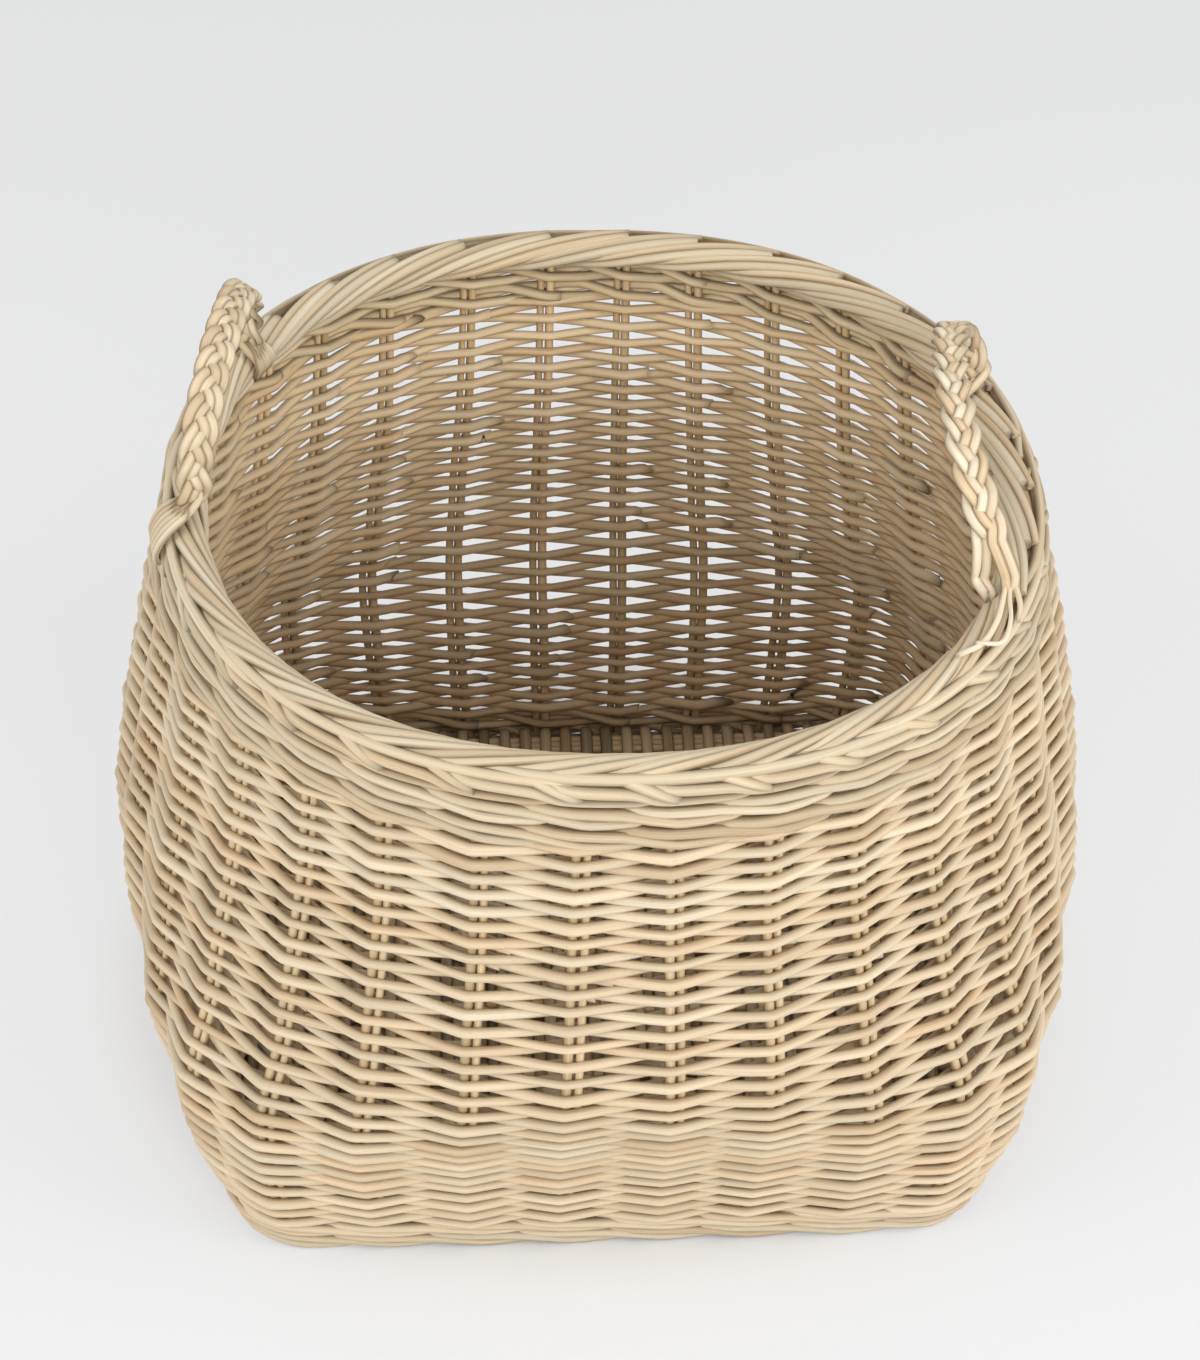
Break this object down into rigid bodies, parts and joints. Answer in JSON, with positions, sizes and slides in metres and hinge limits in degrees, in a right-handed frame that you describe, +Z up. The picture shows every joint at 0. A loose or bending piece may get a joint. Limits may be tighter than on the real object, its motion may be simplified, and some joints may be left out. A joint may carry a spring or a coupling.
{
  "type": "woven willow basket",
  "caption": "Large hand-woven willow basket with a square foot, a round belly, a rolled border and two plaited bow handles, for carrying or storing household goods.",
  "frame": {"origin": "on the floor, under the middle of the basket", "axes": "+Z up out of the mouth, -Y towards the front face, +X to the right seen from the front; the handles stand at the -X and +X sides"},
  "size_m": [0.4974, 0.4848, 0.4159],
  "materials": {
    "stake_willow": "buff willow rods, matt",
    "weave_willow": "buff willow rods, matt, uneven in tone",
    "border_willow": "pale buff willow rods, satin on worn edges",
    "base_willow": "grey-brown buff willow, dull",
    "handle_willow": "buff willow strands, matt"
  },
  "bodies": {
    "root": {"stake_pair_01": "stake_willow", "stake_pair_02": "stake_willow", "stake_pair_03": "stake_willow", "stake_pair_04": "stake_willow", "stake_pair_05": "stake_willow", "stake_pair_06": "stake_willow", "stake_pair_07": "stake_willow", "stake_pair_08": "stake_willow", "stake_pair_09": "stake_willow", "stake_pair_10": "stake_willow", "stake_pair_11": "stake_willow", "stake_pair_12": "stake_willow", "stake_pair_13": "stake_willow", "stake_pair_14": "stake_willow", "stake_pair_15": "stake_willow", "stake_pair_16": "stake_willow", "stake_pair_17": "stake_willow", "stake_pair_18": "stake_willow", "stake_pair_19": "stake_willow", "stake_pair_20": "stake_willow", "stake_pair_21": "stake_willow", "stake_pair_22": "stake_willow", "stake_pair_23": "stake_willow", "stake_pair_24": "stake_willow", "stake_pair_25": "stake_willow", "stake_pair_26": "stake_willow", "stake_pair_27": "stake_willow", "stake_pair_28": "stake_willow", "stake_pair_29": "stake_willow", "stake_pair_30": "stake_willow", "stake_pair_31": "stake_willow", "stake_pair_32": "stake_willow", "weaver_1_lower": "weave_willow", "weaver_1_upper": "weave_willow", "weaver_2_lower": "weave_willow", "weaver_2_upper": "weave_willow", "foot_rod_1": "border_willow", "foot_rod_2": "border_willow", "top_rod_1": "border_willow", "top_rod_2": "border_willow", "top_rod_3": "border_willow", "border_strand_1": "border_willow", "border_strand_2": "border_willow", "border_strand_3": "border_willow", "border_strand_4": "border_willow", "base_stick_1": "base_willow", "base_stick_2": "base_willow", "base_stick_3": "base_willow", "base_stick_4": "base_willow", "base_stick_5": "base_willow", "base_stick_6": "base_willow", "base_stick_7": "base_willow", "base_weave": "base_willow", "left_handle_strand_1": "handle_willow", "left_handle_strand_2": "handle_willow", "left_handle_strand_3": "handle_willow", "right_handle_strand_1": "handle_willow", "right_handle_strand_2": "handle_willow", "right_handle_strand_3": "handle_willow"}
  },
  "joints": []
}
